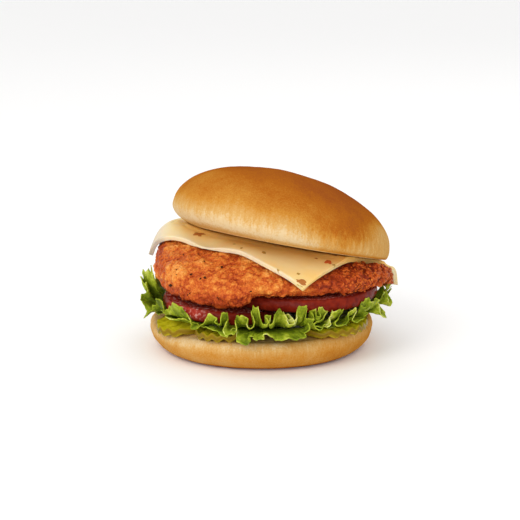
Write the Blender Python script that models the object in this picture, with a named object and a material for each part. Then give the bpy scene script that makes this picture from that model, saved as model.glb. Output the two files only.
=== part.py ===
"""A chicken burger, built from the plate up: a bun heel, three crinkle-cut pickle chips, a frilly
lettuce leaf, two tomato slices, a breaded chicken fillet, a cheese slice and a tilted bun crown.

Run it with: blender --background --python part.py
Sizes below are in millimetres and degrees. Every mesh is scaled to metres as it is made.
+Z is up, -Y is the burger's front, and the origin is the centre of the heel's flat underside.
"""

import math

import bmesh
import bpy
from mathutils import Matrix, Vector, noise

MM = 0.001
GAP = 0.4  # air left between two pieces that touch
BUN_SIDES = 44

# Bun heel
HEEL_RADIUS = 54.6
HEEL_BASE_RADIUS = 44.0
HEEL_CUT_RADIUS = 51.6
HEEL_WIDEST_AT = 10.4
HEEL_HEIGHT = 14.2
HEEL_UNEVENNESS = 0.005

# Pickle chips: direction of each from the burger's middle, distance to it, half length, half width
PICKLES = {
    "pickle_left": (207.5, 43.5, 13.6, 13.0),
    "pickle_middle": (243.5, 43.5, 12.4, 12.5),
    "pickle_right": (321.0, 43.0, 20.0, 14.0),
}
PICKLE_THICKNESS = 2.9
PICKLE_RIDGE_SPACING = 4.2
PICKLE_RIDGE_HEIGHT = 0.5
PICKLE_SLOPE = 14.0  # how steeply the leaf comes down beside a chip

# Lettuce leaf
LEAF_THICKNESS = 0.8
LEAF_WAVES = 23
LEAF_STEPS_PER_WAVE = 6
LEAF_RINGS = (10.0, 24.0, 35.0, 43.0, 49.0, 53.0, 56.5)
LEAF_MARGIN = 56.5
LEAF_CLEARANCE = 0.5
LEAF_FLUTING_FROM = 40.0
LEAF_FREE_SLOPE = 3.0  # how steeply the leaf may rise beside the pieces that lie on it
LEAF_FALL = 1.6  # how steeply it may fall outside the heel
LEAF_SWAY = 1.8  # how far each wave leans outwards

# Margin of the leaf: middle height and swing of its waves. It differs along four stretches, each
# with its direction and its width in degrees, then what it adds to the height, swing and reach
LEAF_FRILL = (24.5, 5.2)
LEAF_STRETCHES = (
    (184.0, 16.0, 2.5, 5.5, 1.8),
    (267.0, 12.0, -2.5, 1.5, 0.0),
    (352.0, 14.0, -1.5, 2.0, 6.8),
    (92.0, 30.0, -4.5, 0.0, 0.0),
)

# Tomato slices: centre across and along, radius, height of the upper face there, fall to the right
TOMATOES = {
    "tomato_left": (-18.7, -17.0, 29.0, 27.2, 0.085),
    "tomato_right": (19.2, -11.5, 36.5, 33.5, 0.0),
}
TOMATO_THICKNESS = 6.0
TOMATO_SIDES = 32
TOMATO_UNEVENNESS = 0.012

# Chicken fillet
FILLET_CENTRE = (5.7, -2.0)
FILLET_HALF_LENGTH = 58.0
FILLET_HALF_WIDTH = 47.5
FILLET_TAPER = 3.0
FILLET_SIDES = 50
FILLET_TOP = 53.8
FILLET_REST = 25.5
FILLET_EDGE_AT = 0.42  # height of its edge, as a share of the way from its lower to its upper face
FILLET_UPPER_POWER = 2.6
FILLET_LOWER_POWER = 4.5
FILLET_LOBE = (238.0, 14.0, 2.8)  # direction, width in degrees and reach of the bulge in its outline
FILLET_SHOULDERS = ((138.0, 20.0, 3.2), (190.0, 20.0, -0.4))  # the same, and what it adds to the power
FILLET_HUMPS = ((-41.0, 6.0, 0.6, 13.0, 6.0), (50.0, -18.0, 1.0, 9.0, 4.0))  # x, y, squash, width, height
FILLET_FALLS = ((-5.0, 0.1), (25.0, 0.22))  # to the right of, and in front of, this line, by this much
FILLET_STEP = ((-10.0, -3.0), (0.0, 20.0), 7.0)  # right of x, in front of y, its lower face rises by this
FILLET_LUMPS = ((11.0, 1.8), (5.0, 0.8))  # size and height of the crust's lumps
FILLET_SMOOTH_SIDE = (175.0, 20.0)

# Cheese slice: its four corners before it drapes, from the left one round by the front one
CHEESE_CORNERS = ((-64.5, 8.0), (20.0, -57.0), (77.0, 17.0), (-3.0, 68.0))
CHEESE_THICKNESS = 2.3
CHEESE_CELLS = 16
CHEESE_OVERHANG = 3.2  # distance from the fillet's edge to the cheese's bend
CHEESE_CLOSE_SIDE = (185.0, 20.0, 1.6)  # direction, width and amount of a smaller distance
CHEESE_EDGE_CLEARANCE = 1.0
CHEESE_DROOP = 1.2
CHEESE_SIDE_DROOP = 2.2
CHEESE_BOW = (-1.2, -1.6)  # how far the left front edge bows outwards at its middle

# Bun crown
CROWN_CENTRE = (8.2, 0.0, 51.1)
CROWN_ROLL = 10.6
CROWN_PITCH = -11.7
CROWN_RADIUS = 54.1
CROWN_CUT_RADIUS = 44.6
CROWN_CUT_SHIFT = 8.0
CROWN_WIDEST_AT = 6.1
CROWN_WIDEST_DROP = 2.6
CROWN_HEIGHT = 35.5
CROWN_LEAN = 5.3
CROWN_BEND = 1.6


def smooth(low, high, value):
    """0 up to low, 1 from high on, and a smooth rise between them."""
    t = min(max((value - low) / (high - low), 0.0), 1.0)
    return t * t * (3 - 2 * t)


def mix(a, b, share):
    return a + (b - a) * share


def lower_of(a, b, softness=1.0):
    """The lower of two heights, with the corner between them rounded."""
    return 0.5 * (a + b - math.hypot(a - b, softness))


def bump(distance, width):
    return math.exp(-0.5 * (distance / width) ** 2)


def directions(count):
    return [2 * math.pi * i / count for i in range(count)]


def turn_between(a, b):
    """The smaller angle between two directions, in degrees."""
    return abs((a - b + 180.0) % 360.0 - 180.0)


def finish(name, bm, colour, roughness, sharp=60.0):
    """Makes a bmesh in millimetres an object in metres, with its own material."""
    bmesh.ops.scale(bm, vec=(MM, MM, MM), verts=bm.verts)
    bmesh.ops.recalc_face_normals(bm, faces=bm.faces)
    mesh = bpy.data.meshes.new(name)
    bm.to_mesh(mesh)
    bm.free()
    mesh.shade_smooth()
    mesh.set_sharp_from_angle(angle=math.radians(sharp))
    material = bpy.data.materials.new(name)
    material.use_nodes = True
    shader = material.node_tree.nodes["Principled BSDF"]
    shader.inputs["Base Color"].default_value = (*colour, 1.0)
    shader.inputs["Roughness"].default_value = roughness
    shader.inputs["Metallic"].default_value = 0.0
    mesh.materials.append(material)
    item = bpy.data.objects.new(name, mesh)
    bpy.context.scene.collection.objects.link(item)
    return item


def loft(rings):
    """A closed bmesh through rings of equal length, the two end rings filled from their middles."""
    bm = bmesh.new()
    loops = [[bm.verts.new(point) for point in ring] for ring in rings]
    for ring, following in zip(loops, loops[1:]):
        for i in range(len(ring)):
            bm.faces.new((ring[i - 1], ring[i], following[i], following[i - 1]))
    caps = [bm.faces.new(loops[0]), bm.faces.new(loops[-1])]
    bmesh.ops.poke(bm, faces=caps)
    return bm


def add_heel():
    """The bun's lower half: a flat baked base, a bulging side and a flat cut face."""
    profile = [(HEEL_BASE_RADIUS, 0.0)]
    for angle in (20, 42, 66, 90):
        a = math.radians(angle)
        out = mix(HEEL_BASE_RADIUS, HEEL_RADIUS, math.sin(a))
        profile.append((out, HEEL_WIDEST_AT * (1 - math.cos(a))))
    for angle in (35, 62, 90):
        a = math.radians(angle)
        out = mix(HEEL_CUT_RADIUS, HEEL_RADIUS, math.cos(a))
        profile.append((out, mix(HEEL_WIDEST_AT, HEEL_HEIGHT, math.sin(a))))
    rings = []
    for out, up in profile:
        ring = []
        for t in directions(BUN_SIDES):
            wobble = 1 + HEEL_UNEVENNESS * (math.sin(2 * t + 0.7) + math.sin(5 * t))
            ring.append((out * wobble * math.cos(t), out * wobble * math.sin(t), up))
        rings.append(ring)
    finish("bun_heel", loft(rings), (0.60, 0.30, 0.075), 0.55)


def pickle_height():
    """Height of a chip's upper ridges."""
    return HEEL_HEIGHT + GAP + 2 * PICKLE_RIDGE_HEIGHT + PICKLE_THICKNESS


def add_pickle(name, direction, distance, half_length, half_width):
    """A chip with ridges that run outwards, lofted from one end of its length to the other."""
    steps = 2 * round(half_length / PICKLE_RIDGE_SPACING * 2)
    low = HEEL_HEIGHT + GAP + PICKLE_RIDGE_HEIGHT
    rings = []
    for i in range(steps + 1):
        along = mix(-0.97, 0.97, i / steps)
        reach = half_width * math.sqrt(1 - along**2)
        ridge = PICKLE_RIDGE_HEIGHT * (-1) ** i
        ring = []
        for side in (-1, 1):
            edge = ((0.9, 0.0), (1.0, 0.3), (1.0, 0.7), (0.9, 1.0))
            for share, up in edge if side < 0 else reversed(edge):
                ring.append((along * half_length, side * share * reach, low + ridge + up * PICKLE_THICKNESS))
        rings.append(ring)
    bm = loft(rings)
    turn = math.radians(direction + 90.0)
    place = (distance * math.cos(turn - math.pi / 2), distance * math.sin(turn - math.pi / 2), 0.0)
    bmesh.ops.rotate(bm, matrix=Matrix.Rotation(turn, 3, "Z"), verts=bm.verts)
    bmesh.ops.translate(bm, vec=place, verts=bm.verts)
    finish(name, bm, (0.30, 0.25, 0.03), 0.3)


def tomato_face(name, x):
    """Height of a slice's upper face at x."""
    centre_x, _, _, height, fall = TOMATOES[name]
    return height - fall * (x - centre_x)


def beyond_tomato(name, x, y):
    """How far (x, y) lies outside a slice's edge, below zero on the slice."""
    centre_x, centre_y, radius, _, _ = TOMATOES[name]
    return math.hypot(x - centre_x, y - centre_y) - radius


def add_tomato(name):
    centre_x, centre_y, radius, _, _ = TOMATOES[name]
    rings = []
    for share, up in ((0.9, 0.0), (0.98, 0.12), (1.0, 0.5), (0.98, 0.88), (0.9, 1.0)):
        ring = []
        for t in directions(TOMATO_SIDES):
            out = share * radius * (1 + TOMATO_UNEVENNESS * math.sin(5 * t + 1))
            x = centre_x + out * math.cos(t)
            y = centre_y + out * math.sin(t)
            ring.append((x, y, tomato_face(name, x) - (1 - up) * TOMATO_THICKNESS))
        rings.append(ring)
    finish(name, loft(rings), (0.36, 0.025, 0.012), 0.25)


def under_leaf(x, y):
    """The lowest that the leaf may lie at (x, y): on the heel, or on a chip."""
    floor = HEEL_HEIGHT + GAP - LEAF_FALL * max(math.hypot(x, y) - HEEL_RADIUS + 0.6, 0.0)
    for direction, distance, half_length, half_width in PICKLES.values():
        turn = math.radians(direction)
        out = x * math.cos(turn) + y * math.sin(turn) - distance
        along = y * math.cos(turn) - x * math.sin(turn)
        beyond = math.hypot(along / half_length, out / half_width) - 1.0
        chip = pickle_height() + GAP - PICKLE_SLOPE * max(beyond - 0.08, 0.0)
        floor = max(floor, chip)
    return floor


def over_leaf(x, y):
    """The highest that the leaf may lie at (x, y): under tomato and fillet, or free outside them."""
    out = math.hypot(x - FILLET_CENTRE[0], y - FILLET_CENTRE[1])
    edge = fillet_reach(math.atan2(y - FILLET_CENTRE[1], x - FILLET_CENTRE[0])) + 2.0
    left = rounded(min(out / edge, 1.0), FILLET_LOWER_POWER)
    side = mix(fillet_middle(x, y), fillet_lower(x, y), left)
    roof = side - GAP + LEAF_FREE_SLOPE * max(out - edge, 0.0)
    for name in TOMATOES:
        under = tomato_face(name, x) - TOMATO_THICKNESS - GAP
        roof = min(roof, under + LEAF_FREE_SLOPE * max(beyond_tomato(name, x, y) - 2.2, 0.0))
    return roof


def frill(direction):
    """(middle height, swing, further reach) of the margin's waves, in a direction given in degrees."""
    middle, swing = LEAF_FRILL
    reach = 0.0
    for towards, width, higher, wider, further in LEAF_STRETCHES:
        near = bump(turn_between(direction, towards), width)
        middle += higher * near
        swing += wider * near
        reach += further * near
    return middle, swing, reach


def add_leaf():
    """A leaf whose outer part is fluted: it waves up and down more and more towards the margin."""
    count = LEAF_WAVES * LEAF_STEPS_PER_WAVE
    bm = bmesh.new()
    loops = []
    for ring_radius in LEAF_RINGS:
        loop = []
        for t in directions(count):
            middle, swing, reach = frill(math.degrees(t))
            phase = LEAF_WAVES * t + 0.9 * math.sin(3 * t + 0.5) + 0.5 * math.sin(7 * t)
            flute = smooth(LEAF_FLUTING_FROM, LEAF_MARGIN, ring_radius)
            out = ring_radius + flute * (reach + LEAF_SWAY * math.cos(phase))
            x = out * math.cos(t)
            y = out * math.sin(t)
            low = under_leaf(x, y) + 0.5 * LEAF_THICKNESS + LEAF_CLEARANCE
            high = over_leaf(x, y) - 0.5 * LEAF_THICKNESS - LEAF_CLEARANCE
            inner = mix(low, high, 0.5 + 0.4 * math.sin(phase) * smooth(15.0, 40.0, ring_radius))
            height = mix(inner, middle + swing * math.sin(phase), flute)
            height = min(max(height, low), high) if low < high else 0.5 * (low + high)
            loop.append(bm.verts.new((x, y, height)))
        loops.append(loop)
    for ring, following in zip(loops, loops[1:]):
        for i in range(count):
            bm.faces.new((ring[i - 1], ring[i], following[i], following[i - 1]))
    bmesh.ops.poke(bm, faces=[bm.faces.new(loops[0])])
    leaf = finish("lettuce_leaf", bm, (0.12, 0.30, 0.035), 0.4)
    blade = leaf.modifiers.new("blade", "SOLIDIFY")
    blade.thickness = LEAF_THICKNESS * MM
    blade.offset = 0.0


def crown_edge(t):
    """(radius of the cut face, height of the widest point) in the direction t."""
    cut = CROWN_CUT_RADIUS + CROWN_CUT_SHIFT * math.cos(t)
    return cut, CROWN_WIDEST_AT - CROWN_WIDEST_DROP * math.cos(t)


def crown_underside(x, y):
    """Height of the crown over (x, y): its cut face, which rounds up into its side."""
    roll = math.radians(CROWN_ROLL)
    pitch = math.radians(CROWN_PITCH)
    right = x - CROWN_CENTRE[0]
    fall = math.tan(roll) * right - math.tan(pitch) / math.cos(roll) * y
    cut, widest = crown_edge(math.atan2(y, right))
    beyond = min(max(math.hypot(right, y) - cut - 2.5, 0.0) / (CROWN_RADIUS - cut), 0.98)
    rounding = widest * (1 - math.sqrt(1 - beyond**2))
    bend = CROWN_BEND * ((right / CROWN_RADIUS) ** 2 - 0.5)
    return CROWN_CENTRE[2] - fall + rounding + bend


def in_front_of_cheese(x, y):
    """How far (x, y) lies outside the slice's right front edge, below zero under the slice."""
    front, right = CHEESE_CORNERS[1:3]
    run = (right[0] - front[0], right[1] - front[1])
    return ((x - front[0]) * run[1] - (y - front[1]) * run[0]) / math.hypot(*run)


def fillet_reach(t):
    """Distance from the fillet's middle to its edge in the direction t."""
    width = FILLET_HALF_WIDTH - FILLET_TAPER * max(math.cos(t), 0.0)
    length = abs(math.cos(t)) / FILLET_HALF_LENGTH
    plain = (length**2.5 + (abs(math.sin(t)) / width) ** 2.5) ** -0.4
    towards, width, bulge = FILLET_LOBE
    lobe = bulge * bump(turn_between(math.degrees(t), towards), width)
    return plain + lobe + 0.6 * math.sin(4 * t + 1.0) + 0.5 * math.sin(7 * t + 0.4)


def fillet_top_of_crust(x, y):
    """The fillet's upper face before its edge is rounded off: humps at both ends, lower in front."""
    height = FILLET_TOP
    for hump_x, hump_y, squash, width, rise in FILLET_HUMPS:
        height += rise * bump(math.hypot(x - hump_x, squash * (y - hump_y)), width)
    for beyond, (start, fall) in zip((x, -y), FILLET_FALLS):
        height -= fall * max(beyond - start, 0.0)
    return height


def fillet_room(x, y):
    """The highest that the fillet may reach at (x, y): under the cheese, or under the crown alone."""
    covered = 1.0 - smooth(1.0, 5.0, in_front_of_cheese(x, y))
    return crown_underside(x, y) - GAP - (CHEESE_THICKNESS + 2.2 * GAP) * covered


def fillet_lower(x, y):
    """The fillet's lower face before its edge is rounded off: on the tomato, lower outside it."""
    rightwards, forwards, step = FILLET_STEP
    rest = FILLET_REST + step * smooth(*rightwards, x) * smooth(*forwards, -y)
    height = rest
    for name in TOMATOES:
        off = smooth(3.0, 10.0, beyond_tomato(name, x, y))
        height = max(height, mix(tomato_face(name, x), rest, off))
    return height + GAP


def rounded(share, power):
    """Share of the half thickness that is left, this share of the way out to the edge."""
    return max(1 - share**power, 0.0) ** (1 / power)


def fillet_middle(x, y):
    """Height of the fillet's edge."""
    upper = lower_of(fillet_top_of_crust(x, y), fillet_room(x, y))
    return mix(fillet_lower(x, y), upper, FILLET_EDGE_AT)


def fillet_top(x, y, t, share):
    """Height of the fillet's rounded upper face: direction and share of the way to the edge."""
    power = FILLET_UPPER_POWER
    for towards, width, squarer in FILLET_SHOULDERS:
        power += squarer * bump(turn_between(math.degrees(t), towards), width)
    middle = fillet_middle(x, y)
    domed = mix(middle, fillet_top_of_crust(x, y), rounded(share, power))
    return lower_of(domed, fillet_room(x, y))


def fillet_point(t, share, side):
    """A point of the fillet: direction, share of the way to its edge, and 1 above or -1 below."""
    out = share * fillet_reach(t)
    x = FILLET_CENTRE[0] + out * math.cos(t)
    y = FILLET_CENTRE[1] + out * math.sin(t)
    if side > 0:
        return Vector((x, y, fillet_top(x, y, t, share)))
    left = rounded(share, FILLET_LOWER_POWER)
    return Vector((x, y, mix(fillet_middle(x, y), fillet_lower(x, y), left)))


def add_fillet():
    """A fillet with a lumpy crust, thick at the left and thin at the right."""
    upper = (0.15, 0.42, 0.64, 0.8, 0.9, 0.965, 1.0)
    lower = (0.965, 0.91, 0.84, 0.76, 0.67, 0.56, 0.4, 0.15)
    stations = [(share, 1) for share in upper] + [(share, -1) for share in lower]
    rings = []
    for share, side in stations:
        ring = []
        for t in directions(FILLET_SIDES):
            point = fillet_point(t, share, side)
            outward = Vector((math.cos(t), math.sin(t), 0.0))
            lump = sum(height * noise.noise(point / size) for size, height in FILLET_LUMPS)
            towards, width = FILLET_SMOOTH_SIDE
            lump *= 1.0 - 0.7 * bump(turn_between(math.degrees(t), towards), width)
            ring.append(point + outward * lump * smooth(0.75, 1.0, share))
        rings.append(ring)
    finish("chicken_fillet", loft(rings), (0.50, 0.115, 0.02), 0.5)


def cheese_height(t, out):
    """Height of the slice's middle: it lies on the fillet, bends over its edge and droops."""
    towards, width, less = CHEESE_CLOSE_SIDE
    overhang = CHEESE_OVERHANG - less * bump(turn_between(math.degrees(t), towards), width)
    edge = 0.97 * (fillet_reach(t) + overhang)
    x = FILLET_CENTRE[0] + min(out, edge) * math.cos(t)
    y = FILLET_CENTRE[1] + min(out, edge) * math.sin(t)
    share = min(out / edge, 1.0)
    lying = fillet_top(x, y, t, 0.97 * share) + CHEESE_EDGE_CLEARANCE * smooth(0.5, 0.9, share)
    ceiling = crown_underside(x, y) - 1.4 * GAP - CHEESE_THICKNESS
    droop = CHEESE_DROOP + CHEESE_SIDE_DROOP * math.cos(t) ** 4
    height = lower_of(lying + GAP, ceiling, 0.3) + 0.5 * CHEESE_THICKNESS
    return height - droop * max(out - edge, 0.0)


def draped(x, y):
    """Where a point of the flat slice comes to lie, at the same distance along the cheese."""
    t = math.atan2(y - FILLET_CENTRE[1], x - FILLET_CENTRE[0])
    left = math.hypot(x - FILLET_CENTRE[0], y - FILLET_CENTRE[1])
    out = 0.0
    height = cheese_height(t, 0.0)
    step = 1.0
    while left > 0.0:
        following = cheese_height(t, out + step)
        length = math.hypot(step, following - height)
        share = min(left / length, 1.0)
        out += share * step
        height = mix(height, following, share)
        left -= length
    return Vector((FILLET_CENTRE[0] + out * math.cos(t), FILLET_CENTRE[1] + out * math.sin(t), height))


def add_cheese():
    """A square slice with one corner to the front, draped over the fillet."""
    left, front, right, back = CHEESE_CORNERS
    bm = bmesh.new()
    bmesh.ops.create_grid(bm, x_segments=CHEESE_CELLS, y_segments=CHEESE_CELLS, size=1.0)
    for vert in bm.verts:
        u = 0.5 * (vert.co.x + 1)
        v = 0.5 * (vert.co.y + 1)
        x = mix(mix(left[0], front[0], u), mix(back[0], right[0], u), v)
        y = mix(mix(left[1], front[1], u), mix(back[1], right[1], u), v)
        bow = 4 * u * (1 - u) * (1 - v)
        vert.co = draped(x + bow * CHEESE_BOW[0], y + bow * CHEESE_BOW[1])
    slice_ = finish("cheese_slice", bm, (0.78, 0.62, 0.33), 0.4)
    body = slice_.modifiers.new("body", "SOLIDIFY")
    body.thickness = CHEESE_THICKNESS * MM
    body.offset = 0.0
    body.use_even_offset = True


def crown_profile(t):
    """(radius, height, share of the lean) from the cut edge to the top, in the direction t."""
    cut, widest = crown_edge(t)
    points = []
    for angle in (0, 28, 52, 74):
        a = math.radians(angle)
        points.append((mix(cut, CROWN_RADIUS, math.sin(a)), widest * (1 - math.cos(a)), 0.0))
    for angle in (0, 12, 25, 38, 52, 66, 80):
        a = math.radians(angle)
        points.append((CROWN_RADIUS * math.cos(a), mix(widest, CROWN_HEIGHT, math.sin(a)), math.sin(a) ** 2))
    return points


def add_crown():
    """The bun's upper half: a rounded cut edge under a glossy dome that leans to the left."""
    columns = []
    for t in directions(BUN_SIDES):
        column = []
        for out, up, lean in crown_profile(t):
            x = out * math.cos(t) - CROWN_LEAN * lean
            bend = CROWN_BEND * ((x / CROWN_RADIUS) ** 2 - 0.5)
            column.append((x, out * math.sin(t), up + bend))
        columns.append(column)
    bm = loft([list(ring) for ring in zip(*columns)])
    crown = finish("bun_crown", bm, (0.56, 0.25, 0.045), 0.4)
    roll = Matrix.Rotation(math.radians(CROWN_ROLL), 4, "Y")
    pitch = Matrix.Rotation(math.radians(CROWN_PITCH), 4, "X")
    crown.matrix_world = Matrix.Translation(Vector(CROWN_CENTRE) * MM) @ roll @ pitch


for old in list(bpy.data.objects):
    bpy.data.objects.remove(old)

add_heel()
for chip, sizes in PICKLES.items():
    add_pickle(chip, *sizes)
add_leaf()
for tomato in TOMATOES:
    add_tomato(tomato)
add_fillet()
add_cheese()
add_crown()
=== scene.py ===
import math
import random

import bmesh
import bpy
import numpy as np
from mathutils import Matrix, Vector, noise
from mathutils.bvhtree import BVHTree


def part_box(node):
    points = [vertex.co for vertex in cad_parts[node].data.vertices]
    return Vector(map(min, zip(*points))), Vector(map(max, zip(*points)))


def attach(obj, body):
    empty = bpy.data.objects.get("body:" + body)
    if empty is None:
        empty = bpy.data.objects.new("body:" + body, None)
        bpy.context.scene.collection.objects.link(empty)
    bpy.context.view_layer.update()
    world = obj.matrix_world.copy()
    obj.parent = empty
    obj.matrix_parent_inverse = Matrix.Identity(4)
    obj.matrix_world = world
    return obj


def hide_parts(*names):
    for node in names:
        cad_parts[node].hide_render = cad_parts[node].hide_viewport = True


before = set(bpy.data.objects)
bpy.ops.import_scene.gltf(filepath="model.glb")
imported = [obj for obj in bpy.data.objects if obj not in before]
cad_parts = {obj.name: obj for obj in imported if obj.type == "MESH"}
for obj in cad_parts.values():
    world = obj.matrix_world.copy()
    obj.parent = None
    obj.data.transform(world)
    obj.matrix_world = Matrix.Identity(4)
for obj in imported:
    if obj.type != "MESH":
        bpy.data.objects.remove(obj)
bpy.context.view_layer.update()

# The table: a plain pale surface in a white room, lit by a large soft lamp from the upper left, a
# low one in front and a weak one behind. The camera stands a little above the burger.
MM = 0.001
CAMERA_TARGET = (-0.75, 0.0, 42.0)
CAMERA_DISTANCE = 800.0
CAMERA_HEIGHT_ANGLE = 13.0
CAMERA_LENS = 112.9
FLOOR_COLOUR = (0.96, 0.955, 0.95, 1.0)
ROOM_STRENGTH = 0.95
LAMPS = {  # place in metres, side of the square in metres, power in watts, colour
    "lamp_key": ((-0.65, -0.75, 0.8), 0.6, 4.2, (1.0, 0.975, 0.94)),
    "lamp_front": ((-0.15, -1.1, 0.30), 0.5, 3.5, (1.0, 0.98, 0.96)),
    "lamp_back": ((0.35, 0.75, 0.9), 0.9, 1.0, (1.0, 0.98, 0.96)),
}


def look_at(item, place, target):
    item.location = place
    item.rotation_euler = (Vector(target) - Vector(place)).to_track_quat("-Z", "Y").to_euler()


bpy.ops.mesh.primitive_plane_add(size=14.0, location=(0, 0, 0))
floor = bpy.context.object
floor.name = "table_top"
floor_paint = bpy.data.materials.new("table_top")
floor_paint.use_nodes = True
floor_paint.node_tree.nodes["Principled BSDF"].inputs["Base Color"].default_value = FLOOR_COLOUR
floor_paint.node_tree.nodes["Principled BSDF"].inputs["Roughness"].default_value = 0.7
floor.data.materials.append(floor_paint)

room = bpy.data.worlds.new("white_room")
room.use_nodes = True
room.node_tree.nodes["Background"].inputs["Color"].default_value = (1.0, 1.0, 1.0, 1.0)
room.node_tree.nodes["Background"].inputs["Strength"].default_value = ROOM_STRENGTH
bpy.context.scene.world = room
bpy.context.scene.view_settings.view_transform = "Standard"

for name, (place, size, power, colour) in LAMPS.items():
    lamp = bpy.data.objects.new(name, bpy.data.lights.new(name, "AREA"))
    lamp.data.size = size
    lamp.data.energy = power
    lamp.data.color = colour
    look_at(lamp, place, (0.0, 0.0, 0.04))
    bpy.context.scene.collection.objects.link(lamp)

camera = bpy.data.objects.new("camera", bpy.data.cameras.new("camera"))
camera.data.lens = CAMERA_LENS
angle = math.radians(CAMERA_HEIGHT_ANGLE)
camera_from = (0.0, -math.cos(angle), math.sin(angle))
target = Vector(CAMERA_TARGET) * MM
look_at(camera, target + Vector(camera_from) * CAMERA_DISTANCE * MM, target)
bpy.context.scene.collection.objects.link(camera)
bpy.context.scene.camera = camera


# The bun heel: the lower half of a soft bun, baked golden, with a darker line where it met the tin,
# a pale upper edge with fine wrinkles, and a cut face of open crumb. The paleness of the upper edge,
# strongest at the front, is a painted highlight, and the darker right side is painted shade.
HEEL_RADIUS = 54.6
HEEL_BASE_RADIUS = 44.0
HEEL_CUT_RADIUS = 51.6
HEEL_WIDEST_AT = 10.4
HEEL_HEIGHT = 14.2
HEEL_PRESSED = 2.2
BUN_COLUMNS = 560
CRUST_COLOURS = (  # from hardly baked to well baked
    (0.0, (0.62, 0.460, 0.255)),
    (0.25, (0.55, 0.320, 0.102)),
    (0.55, (0.48, 0.205, 0.030)),
    (0.8, (0.380, 0.112, 0.010)),
    (1.0, (0.30, 0.076, 0.012)),
)
CRUMB_COLOUR = (0.78, 0.50, 0.20)


def smooth(low, high, value):
    """0 up to low, 1 from high on, and a smooth rise between them."""
    t = np.clip((value - low) / (high - low), 0.0, 1.0)
    return t * t * (3 - 2 * t)


def mix(a, b, share):
    return a + (b - a) * share


def bump(distance, width):
    return np.exp(-0.5 * (distance / width) ** 2)


def lumps(points, size, shift=0.0):
    """Smooth noise, from about -1 to 1, whose lumps have this size, at each of the points."""
    return np.array([noise.noise(p) for p in (np.asarray(points) / size + shift).tolist()])


def round_of(columns):
    return np.arange(columns) * 2 * math.pi / columns


def rows_of_faces(rows, columns, poles=False):
    """Quads between closed rows of points. With poles, a single point before and after them closes each end."""
    start = 1 if poles else 0
    index = np.arange(rows * columns).reshape(rows, columns) + start
    after = np.roll(index, -1, axis=1)
    quads = np.stack([index[:-1], after[:-1], after[1:], index[1:]], axis=-1).reshape(-1, 4).tolist()
    if poles:
        last = rows * columns + 1
        quads += [(0, b, a) for a, b in zip(index[0].tolist(), after[0].tolist())]
        quads += [(last, a, b) for a, b in zip(index[-1].tolist(), after[-1].tolist())]
    return quads


def add_piece(name, points, faces, material, **values):
    """A smooth mesh from points in millimetres. Each further value is kept at its points for the material."""
    mesh = bpy.data.meshes.new(name)
    mesh.from_pydata((np.asarray(points) * MM).tolist(), [], faces)
    mesh.shade_smooth()
    for label, numbers in values.items():
        mesh.attributes.new(label, "FLOAT", "POINT").data.foreach_set("value", np.asarray(numbers, np.float32))
    mesh.materials.append(material)
    piece = bpy.data.objects.new(name, mesh)
    bpy.context.scene.collection.objects.link(piece)
    return piece


def new_material(name, **sockets):
    """A material with one shader, and the numbers or colours that hold all over it."""
    material = bpy.data.materials.new(name)
    material.use_nodes = True
    shader = material.node_tree.nodes["Principled BSDF"]
    for socket, value in sockets.items():
        shader.inputs[socket.replace("_", " ")].default_value = value
    return material, material.node_tree, shader


def grain(tree, size, detail=2.0, stretch=(1.0, 1.0, 1.0)):
    """Noise whose lumps have this size in millimetres, stretched along an axis by its number."""
    place = tree.nodes.new("ShaderNodeTexCoord")
    mapping = tree.nodes.new("ShaderNodeMapping")
    mapping.inputs["Scale"].default_value = [1 / (size * MM * s) for s in stretch]
    texture = tree.nodes.new("ShaderNodeTexNoise")
    texture.inputs["Scale"].default_value = 1.0
    texture.inputs["Detail"].default_value = detail
    tree.links.new(place.outputs["Object"], mapping.inputs["Vector"])
    tree.links.new(mapping.outputs["Vector"], texture.inputs["Vector"])
    return texture.outputs["Fac"]


def kept(tree, label):
    """The value that add_piece keeps under this label."""
    node = tree.nodes.new("ShaderNodeAttribute")
    node.attribute_name = label
    return node.outputs["Fac"]


def sums(tree, how, a, b):
    node = tree.nodes.new("ShaderNodeMath")
    node.operation = how
    for socket, value in zip(node.inputs, (a, b)):
        if isinstance(value, (int, float)):
            socket.default_value = value
        else:
            tree.links.new(value, socket)
    return node.outputs["Value"]


def ramp(tree, value, stops):
    """Colours along a value, from stops of (where, colour)."""
    node = tree.nodes.new("ShaderNodeValToRGB")
    elements = node.color_ramp.elements
    while len(elements) < len(stops):
        elements.new(0.5)
    for element, (where, colour) in zip(elements, stops):
        element.position = where
        element.color = (*colour, 1.0)
    tree.links.new(value, node.inputs["Fac"])
    return node.outputs["Color"]


def blend_colours(tree, share, a, b):
    node = tree.nodes.new("ShaderNodeMix")
    node.data_type = "RGBA"
    tree.links.new(share, node.inputs["Factor"])
    for socket, value in (("A", a), ("B", b)):
        inlet = next(i for i in node.inputs if i.name == socket and i.type == "RGBA")
        if isinstance(value, tuple):
            inlet.default_value = (*value, 1.0)
        else:
            tree.links.new(value, inlet)
    return next(o for o in node.outputs if o.type == "RGBA")


def relief(tree, shader, height, depth, strength=1.0):
    """Fine relief in the surface, this many millimetres deep."""
    node = tree.nodes.new("ShaderNodeBump")
    node.inputs["Distance"].default_value = depth * MM
    node.inputs["Strength"].default_value = strength
    tree.links.new(height, node.inputs["Height"])
    tree.links.new(node.outputs["Normal"], shader.inputs["Normal"])


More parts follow.
